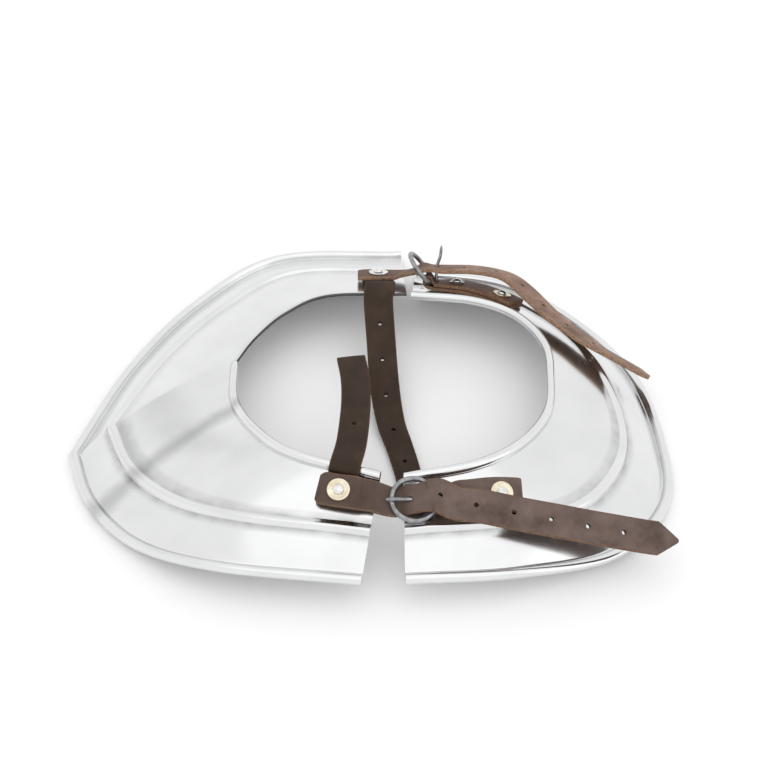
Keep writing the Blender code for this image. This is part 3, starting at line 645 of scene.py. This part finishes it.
Frame = namedtuple("Frame", "point normal width")
Slice = namedtuple("Slice", "point along across normal width distance")
Ring = namedtuple("Ring", "centre out across up")


def on_plate(half, stop):
    inset = stop.across * half.width(stop.station)
    point, _, normal = half.frame(stop.station, inset)
    height = STEEL_THICKNESS / 2 + GAP + stop.layers * (LEATHER_THICKNESS + GAP)
    leaning = normal + Vector((-stop.lean * half.side, stop.lean, 0))
    return Frame(point + normal * height, leaning.normalized(), stop.width * STRAP_WIDTH)


def beside_ring(ring, stop, normal):
    room = RING_WIRE_RADIUS + GAP + LEATHER_THICKNESS
    beside = ring.out * stop.along + ring.across * stop.side
    point = ring.centre + beside * RING_RADIUS + ring.up * (room * stop.rise)
    return Frame(point, normal, stop.width * STRAP_WIDTH)


def in_opening(stop):
    point = Vector((
        NECK_HALF_WIDTH * stop.out,
        NECK_CENTRE_Y + NECK_HALF_DEPTH * stop.back,
        RIM_ROLL_RADIUS + COLLAR_HEIGHT * stop.up,
    ))
    return Frame(point + AS_IT_LIES, Vector((0, 0, 1)), stop.width * STRAP_WIDTH)


def trace(frames, steps):
    """Slices along a smooth line through the frames, the widths in straight runs."""
    places = []
    last = len(frames) - 1
    for first in range(last):
        start = frames[first]
        end = frames[first + 1]
        before = frames[first - 1].point if first else start.point * 2 - end.point
        after = frames[first + 2].point if first + 2 <= last else end.point * 2 - start.point
        for step in range(steps):
            share = step / steps
            places.append(Frame(
                cubic(before, start.point, end.point, after, share),
                start.normal.lerp(end.normal, share),
                start.width + (end.width - start.width) * share,
            ))
    places.append(frames[-1])
    slices = []
    distance = 0.0
    for index, place in enumerate(places):
        previous = places[max(index - 1, 0)].point
        following = places[min(index + 1, len(places) - 1)].point
        along = (following - previous).normalized()
        across = along.cross(place.normal).normalized()
        distance += (place.point - previous).length
        slices.append(Slice(
            place.point, along, across, across.cross(along), place.width, distance
        ))
    return slices


def surface_tree(piece):
    points = [vertex.co for vertex in piece.data.vertices]
    faces = [tuple(face.vertices) for face in piece.data.polygons]
    return BVHTree.FromPolygons(points, faces)


def rest_on(slices, pieces):
    """Lift the slices where the pieces beneath them come closer than the gap."""
    trees = [surface_tree(piece) for piece in pieces]
    reach = 3 * LEATHER_THICKNESS
    needs = []
    for here in slices:
        need = 0.0
        for share in (-1.0, -0.5, 0.0, 0.5, 1.0):
            spot = here.point + here.across * (share * here.width / 2)
            for tree in trees:
                hit = tree.ray_cast(spot + here.normal * reach, -here.normal, 2 * reach)[0]
                if hit:
                    need = max(need, (hit - spot).dot(here.normal) + GAP)
        needs.append(need)
    lifted = []
    for index, here in enumerate(slices):
        around = needs[max(index - 3, 0):index + 4]
        lift = max(needs[index], (max(around) + sum(around) / len(around)) / 2)
        lifted.append(here._replace(point=here.point + here.normal * lift))
    return lifted


def ribbon(name, slices, material):
    """Strap with rounded edges and a slightly crowned top."""
    thick = LEATHER_THICKNESS
    rounding = 0.0007
    rings = []
    for piece in slices:
        half = piece.width / 2
        outline = []
        for index in range(9):
            share = index / 4 - 1
            crown = 0.00022 * (1 - share * share)
            outline.append((share * (half - rounding), thick + crown - 0.00010))
        for angle in (70, 45, 20):
            turn = math.radians(angle)
            outline.append((half - rounding + rounding * math.cos(turn),
                            thick - 0.00010 - rounding + rounding * math.sin(turn)))
        for angle in (-20, -45, -70):
            turn = math.radians(angle)
            outline.append((half - rounding + rounding * math.cos(turn),
                            rounding + rounding * math.sin(turn)))
        for index in range(5):
            share = 1 - index / 2
            outline.append((share * (half - rounding), 0.0))
        for angle in (-110, -135, -160):
            turn = math.radians(angle)
            outline.append((-half + rounding + rounding * math.cos(turn),
                            rounding + rounding * math.sin(turn)))
        for angle in (160, 135, 110):
            turn = math.radians(angle)
            outline.append((-half + rounding + rounding * math.cos(turn),
                            thick - 0.00010 - rounding + rounding * math.sin(turn)))
        rings.append([piece.point + piece.across * x + piece.normal * z for x, z in outline])
    around = [index / 4 - 1 for index in range(9)]
    around += [1.03, 1.07, 1.10, 1.14, 1.18, 1.22, 1.35, 1.7, 2.0, 1.7, 1.35]
    around += [1.22, 1.18, 1.14, 1.10, 1.07, 1.03, 1.0]
    marks = ([piece.distance for piece in slices], around)
    return loft(name, rings, material, marks, 50.0)


def slice_at(slices, distance):
    first = slices[0]
    if distance <= 0:
        return first._replace(point=first.point + first.along * distance)
    for low, high in zip(slices, slices[1:]):
        if distance <= high.distance:
            break
    share = min((distance - low.distance) / (high.distance - low.distance), 1.0)
    mixed = [start.lerp(end, share) for start, end in zip(low[:4], high[:4])]
    return Slice(*mixed, low.width, distance)


class Lane:
    """Underside of a folded buckle strap on a plate, from the ring's wire on."""

    def __init__(self, half, stops, plate):
        self.slices = rest_on(trace([on_plate(half, stop) for stop in stops], 8), [plate])
        self.length = self.slices[-1].distance

    def at(self, distance):
        return slice_at(self.slices, distance)


def hang_ring(lane, tilt):
    start = lane.at(0)
    angle = math.radians(tilt)
    out = -start.along * math.cos(angle) + start.normal * math.sin(angle)
    up = start.normal * math.cos(angle) + start.along * math.sin(angle)
    wire = start.point + start.normal * (2 * GAP + LEATHER_THICKNESS + RING_WIRE_RADIUS)
    return Ring(wire + out * RING_RADIUS, -out, start.across, up)


def build_ring(name, ring, material):
    builder = bmesh.new()
    loops = []
    turns = 96
    sides = 20
    for turn in range(turns):
        angle = math.tau * turn / turns
        radial = ring.out * math.cos(angle) + ring.across * math.sin(angle)
        wobble = 1 + 0.012 * math.sin(2 * angle + 0.7)
        loop = []
        for side in range(sides):
            tilt = math.tau * side / sides
            reach = RING_RADIUS * wobble + RING_WIRE_RADIUS * math.cos(tilt)
            point = ring.centre + radial * reach + ring.up * (RING_WIRE_RADIUS * math.sin(tilt))
            loop.append(builder.verts.new(point))
        loops.append(loop)
    for index, loop in enumerate(loops):
        following = loops[(index + 1) % turns]
        for side in range(sides):
            other = (side + 1) % sides
            builder.faces.new((loop[side], loop[other], following[other], following[side]))
    return add_object(name, builder, material)


def build_fold(name, lane, ring, material):
    """Buckle strap doubled round the ring's wire, its outer layer on top of its inner one."""
    wire = ring.centre + ring.out * RING_RADIUS
    cavity = RING_WIRE_RADIUS + 2.2 * GAP
    lower = LEATHER_THICKNESS
    flat = [lane.length * (24 - index) / 24 for index in range(24)]
    rows = [(distance, lower, -90, 0.0) for distance in flat]
    rows += [(0.0, 0.0, -90 - 15 * index, 1.0) for index in range(13)]
    rows += [(distance, lower + GAP, 90, 0.0) for distance in reversed(flat)]
    shares = [index / 5 - 1 for index in range(11)]
    rings = []
    places = []
    travelled = 0.0
    previous = None
    for distance, height, angle, follow in rows:
        turn = math.radians(angle)
        here = lane.at(distance)
        if distance > lane.length * 0.98:
            width = 0.94
        elif follow:
            width = FOLD_WIDTH
        else:
            width = FOLD_WIDTH + (1 - FOLD_WIDTH) * min(distance / (lane.length * 0.27), 1.0)
        inner = []
        outer = []
        for share in shares:
            side = share * width * STRAP_WIDTH / 2
            facing = here.along * math.cos(turn) + here.normal * math.sin(turn)
            if follow:
                stretch = 1 / math.sqrt(1 - (side / RING_RADIUS) ** 2)
                base = wire - ring.out * (RING_RADIUS - RING_RADIUS / stretch)
                slant = facing + ring.out * (facing.dot(ring.out) * (stretch - 1))
                point = base + here.across * side + slant * cavity
            else:
                point = here.point + here.across * side + here.normal * height
            inner.append(point)
            outer.append(point + facing * (LEATHER_THICKNESS - 0.00025 * share ** 6))
        middle = outer[5]
        travelled += (middle - previous).length if previous else 0.0
        previous = middle
        places.append(travelled)
        rings.append(inner + list(reversed(outer)))
    around = [1.30 + 0.3 * (1 - abs(share)) for share in shares]
    around += [-share for share in shares]
    around.append(1.30)
    return loft(name, rings, material, (places, around), 50.0)


def spin(name, origin, axis, reference, outline, segments, scallop, hollow, material):
    """Turned solid from rows of radius and height; a hollow one has a closed outline."""
    side = (reference - axis * reference.dot(axis)).normalized()
    other = axis.cross(side)
    widest = max(radius for radius, _ in outline)
    builder = bmesh.new()
    loops = []
    for radius, height in outline:
        loop = []
        for turn in range(segments):
            angle = math.tau * turn / segments
            petal = 1 - abs(math.cos(angle * 6)) if scallop else 0.0
            wave = 1 - scallop * petal if radius > 0.8 * widest else 1
            radial = side * math.cos(angle) + other * math.sin(angle)
            loop.append(builder.verts.new(origin + radial * (radius * wave) + axis * height))
        loops.append(loop)
    pairs = list(zip(loops, loops[1:]))
    if hollow:
        pairs.append((loops[-1], loops[0]))
    else:
        builder.faces.new(list(reversed(loops[0])))
        builder.faces.new(loops[-1])
    for low, high in pairs:
        for turn in range(segments):
            following = (turn + 1) % segments
            builder.faces.new((low[turn], low[following], high[following], high[turn]))
    return add_object(name, builder, material)


def tube(name, points, side, radius, material):
    """Round wire through points, its far end rounded off."""
    smooth = []
    last = len(points) - 1
    for index in range(last):
        before = points[index - 1] if index else points[0] * 2 - points[1]
        after = points[index + 2] if index + 2 <= last else points[last] * 2 - points[last - 1]
        for step in range(5):
            smooth.append(cubic(before, points[index], points[index + 1], after, step / 5))
    smooth.append(points[-1])
    total = len(smooth) - 1
    rings = []
    for index, point in enumerate(smooth):
        previous = smooth[max(index - 1, 0)]
        following = smooth[min(index + 1, total)]
        up = side.cross((following - previous).normalized())
        left = total - index
        size = radius * (1.0 if left > 2 else (0.45, 0.80, 0.95)[left])
        rings.append([
            point + (side * math.cos(turn) + up * math.sin(turn)) * size
            for turn in [math.tau * step / 16 for step in range(16)]
        ])
    return loft(name, rings, material)


def block(name, start, low, high, width, material):
    half = width / 2
    corners = []
    for distance, height in (low, (high[0], low[1]), high, (low[0], high[1])):
        corners.append(start.point + start.along * distance + start.normal * height)
    rings = [[corner + start.across * side for corner in corners] for side in (-half, half)]
    return loft(name, rings, material)


def cut(piece, cutters):
    """Take the cutters out of a piece for good."""
    for cutter in cutters:
        modifier = piece.modifiers.new("cut", "BOOLEAN")
        modifier.operation = "DIFFERENCE"
        modifier.solver = "EXACT"
        modifier.object = cutter
    graph = bpy.context.evaluated_depsgraph_get()
    baked = bpy.data.meshes.new_from_object(piece.evaluated_get(graph))
    piece.modifiers.clear()
    piece.data = baked
    for cutter in cutters:
        bpy.data.objects.remove(cutter, do_unlink=True)


def punch(slices, pattern, material):
    cutters = []
    for index in range(pattern.count):
        distance = STRAP_WIDTH * (pattern.first + pattern.pitch * index)
        here = slice_at(slices, distance)
        outline = ((HOLE_RADIUS, -LEATHER_THICKNESS), (HOLE_RADIUS, 2 * LEATHER_THICKNESS))
        cutters.append(spin(
            "hole", here.point, here.normal, here.along, outline, 24, 0.0, False, material
        ))
    return cutters


def rivet_seat(half, fastener, plate):
    inset = fastener.across * half.width(fastener.station)
    point, outward, normal = half.frame(fastener.station, inset)
    above = point + normal * RIM_ROLL_RADIUS
    hit = surface_tree(plate).ray_cast(above, -normal, 2 * RIM_ROLL_RADIUS)[0]
    return hit, normal, outward


def bore(seat, radius, material):
    origin, normal, outward = seat
    outline = ((radius, -4 * STEEL_THICKNESS), (radius, 3 * (LEATHER_THICKNESS + GAP)))
    return spin("bore", origin, normal, outward, outline, 24, 0.0, False, material)


def height_over(place, radius, piece):
    origin, normal, outward = place
    tree = surface_tree(piece)
    reach = 4 * LEATHER_THICKNESS
    spots = [Vector((0, 0, 0))]
    for turn in range(8):
        angle = math.tau * turn / 8
        side = outward * math.cos(angle) + normal.cross(outward) * math.sin(angle)
        spots += [side * radius, side * (radius / 2)]
    hits = [tree.ray_cast(origin + spot + normal * reach, -normal, reach)[0] for spot in spots]
    return max((hit - origin).dot(normal) for hit in hits if hit)


def build_rivet(fastener, place, leather_top, rivet_material, washer_material):
    origin, normal, outward = place
    under = -STEEL_THICKNESS - 1.5 * GAP
    low = leather_top + GAP * 0.5
    high = low + WASHER_THICKNESS
    seat = high + GAP * 0.3
    outline = [
        (SHANK_FOOT_RADIUS * 0.8, under - SHANK_FOOT_HEIGHT),
        (SHANK_FOOT_RADIUS, under),
        (SHANK_RADIUS, under),
        (SHANK_RADIUS, seat),
        (HEAD_RADIUS * 0.94, seat),
    ]
    for angle in range(0, 90, 10):
        turn = math.radians(angle)
        outline.append((
            HEAD_RADIUS * math.cos(turn), seat + 0.0002 + (HEAD_HEIGHT - 0.0002) * math.sin(turn)
        ))
    rivet = spin(fastener.name + "_rivet_head", origin, normal, outward, outline, 28, 0.0,
                 False, rivet_material)
    hole = SHANK_RADIUS + GAP
    rim = WASHER_RADIUS * fastener.washer
    edge = 0.00022
    outline = (
        (hole, low), (rim - edge, low), (rim, low + edge), (rim, high - edge),
        (rim - edge, high), (rim * 0.82, high), (rim * 0.78, high - 0.00012),
        (hole + 0.0012, high - 0.00012), (hole, high - 0.00005),
    )
    scallop = 0.09 if fastener.scallops else 0.0
    washer = spin(fastener.name + "_washer_disc", origin, normal, outward, outline, 72, scallop,
                  True, washer_material)
    return rivet, washer


def tongue_points(lane, ring, start_angle, end_angle, rows, upright):
    start = lane.at(0)
    wire = ring.centre + ring.out * RING_RADIUS
    reach = RING_WIRE_RADIUS + 1.4 * GAP + TONGUE_RADIUS
    turns = 8
    points = []
    for index in range(turns + 1):
        angle = math.radians(start_angle + (end_angle - start_angle) * index / turns)
        facing = start.along * math.cos(angle) + start.normal * math.sin(angle)
        points.append(wire + facing * reach)
    for along, rise in rows:
        if upright:
            points.append(
                wire + start.along * (RING_RADIUS * along) + start.normal * (reach * rise)
            )
        else:
            points.append(
                ring.centre + ring.out * (RING_RADIUS * along) + ring.up * (reach * rise)
            )
    return points


def fold_slot(lane, material):
    reach = RING_WIRE_RADIUS + 2 * GAP + 2 * TONGUE_RADIUS
    fold = RING_WIRE_RADIUS + 2 * GAP + LEATHER_THICKNESS
    low = (-fold * 1.4, -GAP / 2)
    high = (reach * 1.15, 3 * fold)
    width = 2 * TONGUE_RADIUS + 4 * GAP
    return block("slot", lane.at(0), low, high, width, material)


def dress(piece, node):
    """Put a finished piece in the place of its solid."""
    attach(piece, "root")
    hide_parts(node)


def build_gorget():
    steel = polished_steel("polished_steel_finish")
    brown = strap_leather(
        "dark_strap_leather", (0.024, 0.014, 0.009), (0.040, 0.024, 0.015),
        (0.062, 0.040, 0.027), (0.12, 0.068, 0.040), 0.56, 0.72
    )
    # Partly painted sheen: these base colours are lighter and greyer than the dark straps' to stand
    # for the sheen the front straps catch; the lower roughness is the leather's own gloss
    waxed_painted_sheen = strap_leather(
        "waxed_strap_leather", (0.062, 0.038, 0.028), (0.142, 0.098, 0.084),
        (0.200, 0.148, 0.130), (0.24, 0.145, 0.095), 0.44, 0.60, 0.60
    )
    russet = strap_leather(
        "russet_strap_leather", (0.055, 0.028, 0.018), (0.150, 0.076, 0.048),
        (0.28, 0.16, 0.105), (0.34, 0.20, 0.12), 0.46, 0.62
    )
    tan = strap_leather(
        "light_strap_leather", (0.09, 0.050, 0.034), (0.25, 0.155, 0.112),
        (0.42, 0.275, 0.205), (0.46, 0.29, 0.19), 0.50, 0.66, 0.70
    )
    iron = worn_iron("worn_ring_iron", (0.16, 0.16, 0.165), (0.46, 0.46, 0.47), 0.34)
    silver = worn_iron("rivet_head_iron", (0.62, 0.62, 0.61), (0.90, 0.90, 0.89), 0.26)
    brass = worn_iron("pale_washer_brass", (0.62, 0.53, 0.36), (0.86, 0.80, 0.66), 0.28)

    left = Half(-1, LEFT_SECTIONS, True)
    right = Half(1, RIGHT_SECTIONS, False)
    left_plate = build_plate("left_half", left, steel)
    right_plate = build_plate("right_half", right, steel)

    front_lane = Lane(right, FRONT_BUCKLE_LANE, right_plate)
    rear_lane = Lane(right, REAR_BUCKLE_LANE, right_plate)
    front_ring = hang_ring(front_lane, FRONT_RING_TILT)
    rear_ring = hang_ring(rear_lane, REAR_RING_TILT)
    front_left = rivet_seat(left, FRONT_LEFT_RIVET, left_plate)
    front_right = rivet_seat(right, FRONT_RIGHT_RIVET, right_plate)
    rear_left = rivet_seat(left, REAR_LEFT_RIVET, left_plate)
    rear_inner = rivet_seat(right, REAR_INNER_RIVET, right_plate)
    rear_outer = rivet_seat(right, REAR_OUTER_RIVET, right_plate)

    front_fold = build_fold("front_buckle_leather", front_lane, front_ring, waxed_painted_sheen)
    rear_fold = build_fold("rear_buckle_leather", rear_lane, rear_ring, russet)
    frames = [on_plate(left, stop) for stop in HANGING_STRAP_FIXED]
    frames += [in_opening(stop) for stop in HANGING_STRAP_FREE]
    hanging_slices = rest_on(trace(frames, 10), [left_plate])
    hanging_strap = ribbon("hanging_leather", hanging_slices, brown)
    frames = [on_plate(left, stop) for stop in UPRIGHT_STRAP_FIXED]
    frames += [in_opening(stop) for stop in UPRIGHT_STRAP_FREE]
    upright_slices = rest_on(trace(frames, 10), [left_plate])
    upright_strap = ribbon("upright_leather", upright_slices, brown)
    frames = [on_plate(left, stop) for stop in FRONT_STRAP_FIXED]
    frames += [beside_ring(front_ring, stop, front_ring.up) for stop in FRONT_STRAP_PASS]
    frames += [on_plate(right, stop) for stop in FRONT_STRAP_TAIL]
    front_slices = rest_on(trace(frames, 8), [left_plate, upright_strap, front_fold])
    front_strap = ribbon("front_leather", front_slices, waxed_painted_sheen)
    frames = [on_plate(left, stop) for stop in REAR_STRAP_FIXED]
    frames += [beside_ring(rear_ring, stop, -rear_ring.out) for stop in REAR_STRAP_PASS]
    frames += [on_plate(right, stop) for stop in REAR_STRAP_TAIL]
    rear_slices = rest_on(trace(frames, 8), [left_plate, hanging_strap, rear_fold])
    rear_strap = ribbon("rear_leather", rear_slices, tan)
    front_wire = build_ring("front_ring_wire", front_ring, iron)
    rear_wire = build_ring("rear_ring_wire", rear_ring, iron)

    front_points = tongue_points(front_lane, front_ring, -160, 90, FRONT_TONGUE, False)
    rear_points = tongue_points(rear_lane, rear_ring, -250, 0, REAR_TONGUE, True)
    front_tongue = tube(
        "front_tongue_wire", front_points, front_ring.across, TONGUE_RADIUS, iron
    )
    rear_tongue = tube("rear_tongue_wire", rear_points, rear_ring.across, TONGUE_RADIUS, iron)
    clear = TONGUE_RADIUS + 1.2 * GAP
    front_clear = tube("clear", front_points, front_ring.across, clear, iron)
    rear_clear = tube("clear", rear_points, rear_ring.across, clear, iron)

    for fastener, place, leather_piece, head, disc, slots in (
        (FRONT_LEFT_RIVET, front_left, front_strap, silver, brass, "pale_brass"),
        (FRONT_RIGHT_RIVET, front_right, front_fold, silver, brass, "pale_brass"),
        (REAR_LEFT_RIVET, rear_left, rear_strap, silver, silver, "grey_iron"),
        (REAR_INNER_RIVET, rear_inner, rear_fold, silver, iron, "grey_iron"),
        (REAR_OUTER_RIVET, rear_outer, rear_fold, silver, brass, "pale_brass"),
    ):
        radius = WASHER_RADIUS * fastener.washer
        top = height_over(place, radius, leather_piece)
        rivet, washer = build_rivet(fastener, place, top, head, disc)
        dress(rivet, fastener.name + "_rivet")
        dress(washer, fastener.name + "_washer")

    hole = SHANK_RADIUS + GAP
    spare = rivet_seat(right, SPARE_HOLE, right_plate)
    cut(right_plate, [bore(spare, SPARE_HOLE_RADIUS, iron)])
    cut(front_strap, punch(front_slices, FRONT_STRAP_HOLES, waxed_painted_sheen)
        + [bore(front_left, hole, waxed_painted_sheen), front_clear])
    cut(rear_strap, punch(rear_slices, REAR_STRAP_HOLES, tan)
        + [bore(rear_left, hole, tan), rear_clear])
    cut(hanging_strap, punch(hanging_slices, HANGING_STRAP_HOLES, brown)
        + [bore(rear_left, hole, brown)])
    cut(upright_strap, punch(upright_slices, UPRIGHT_STRAP_HOLES, brown)
        + [bore(front_left, hole, brown)])
    cut(front_fold, [fold_slot(front_lane, waxed_painted_sheen), bore(front_right, hole, waxed_painted_sheen)])
    cut(rear_fold, [fold_slot(rear_lane, russet)]
        + [bore(seat, hole, russet) for seat in (rear_inner, rear_outer)])

    dress(left_plate, "left_plate")
    dress(right_plate, "right_plate")
    dress(front_strap, "front_strap")
    dress(rear_strap, "rear_strap")
    dress(hanging_strap, "hanging_strap")
    dress(upright_strap, "upright_strap")
    dress(front_fold, "front_buckle_strap")
    dress(rear_fold, "rear_buckle_strap")
    dress(front_wire, "front_buckle_ring")
    dress(rear_wire, "rear_buckle_ring")
    dress(front_tongue, "front_buckle_tongue")
    dress(rear_tongue, "rear_buckle_tongue")


def aim(item, target):
    direction = Vector(target) - item.location
    item.rotation_euler = direction.to_track_quat("-Z", "Y").to_euler()


def softbox(name, place, target, size, power):
    light = bpy.data.lights.new(name, "AREA")
    light.shape = "RECTANGLE"
    light.size = size[0]
    light.size_y = size[1]
    light.energy = power
    lamp = bpy.data.objects.new(name, light)
    bpy.context.scene.collection.objects.link(lamp)
    lamp.location = place
    aim(lamp, target)


def build_sky():
    """White studio walls, a little darker low down, with one soft grey screen at the rear left."""
    world = bpy.data.worlds.new("studio")
    bpy.context.scene.world = world
    world.use_nodes = True
    tree = world.node_tree
    place = tree.nodes.new("ShaderNodeTexCoord")
    parts = tree.nodes.new("ShaderNodeSeparateXYZ")
    tree.links.new(place.outputs["Generated"], parts.inputs["Vector"])
    height = tree.nodes.new("ShaderNodeValToRGB")
    while len(height.color_ramp.elements) < len(SKY_LEVELS):
        height.color_ramp.elements.new(0.5)
    for element, (where, level) in zip(height.color_ramp.elements, SKY_LEVELS):
        element.position = where
        element.color = (level, level, level, 1.0)
    tree.links.new(parts.outputs["Z"], height.inputs["Fac"])
    screen = tree.nodes.new("ShaderNodeVectorMath")
    screen.operation = "DISTANCE"
    tree.links.new(place.outputs["Generated"], screen.inputs[0])
    screen.inputs[1].default_value = GREY_SCREEN
    shade = tree.nodes.new("ShaderNodeMapRange")
    shade.interpolation_type = "SMOOTHSTEP"
    shade.inputs["From Min"].default_value = SCREEN_INNER
    shade.inputs["From Max"].default_value = SCREEN_OUTER
    shade.inputs["To Min"].default_value = SCREEN_LEVEL
    shade.inputs["To Max"].default_value = 1.0
    tree.links.new(screen.outputs["Value"], shade.inputs["Value"])
    strength = tree.nodes.new("ShaderNodeMath")
    strength.operation = "MULTIPLY"
    strength.inputs[1].default_value = SKY_STRENGTH
    tree.links.new(shade.outputs["Result"], strength.inputs[0])
    background = tree.nodes["Background"]
    tree.links.new(height.outputs["Color"], background.inputs["Color"])
    tree.links.new(strength.outputs["Value"], background.inputs["Strength"])


def build_studio():
    builder = bmesh.new()
    bmesh.ops.create_grid(builder, x_segments=1, y_segments=1, size=4.0)
    floor_finish = Finish("studio_floor", 0.0)
    floor_finish.surface(Base_Color=(0.95, 0.95, 0.95), Roughness=0.85)
    floor = add_object("studio_floor", builder, floor_finish.material)
    build_sky()
    softbox("overhead", (0.5, -0.8, 2.4), (0.0, 0.0, 0.0), (3.0, 3.0), 5.0)
    softbox("right_window", (2.2, -1.0, 1.2), (0.0, 0.0, 0.0), (1.6, 1.6), 4.0)


def build_camera():
    lens = bpy.data.cameras.new("camera")
    lens.lens = CAMERA_LENS
    lens.sensor_width = SENSOR_WIDTH
    camera = bpy.data.objects.new("camera", lens)
    bpy.context.scene.collection.objects.link(camera)
    camera.location = CAMERA_PLACE
    aim(camera, CAMERA_TARGET)
    bpy.context.scene.camera = camera
    bpy.context.scene.view_settings.view_transform = "Standard"


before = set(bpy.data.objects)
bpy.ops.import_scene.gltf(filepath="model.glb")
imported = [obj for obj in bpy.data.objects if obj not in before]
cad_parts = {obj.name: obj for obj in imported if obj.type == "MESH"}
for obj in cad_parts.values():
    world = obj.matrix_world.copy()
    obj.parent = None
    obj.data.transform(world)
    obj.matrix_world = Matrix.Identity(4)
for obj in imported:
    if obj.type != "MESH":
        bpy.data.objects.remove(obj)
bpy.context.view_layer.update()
build_gorget()
build_studio()
build_camera()
bpy.context.view_layer.update()
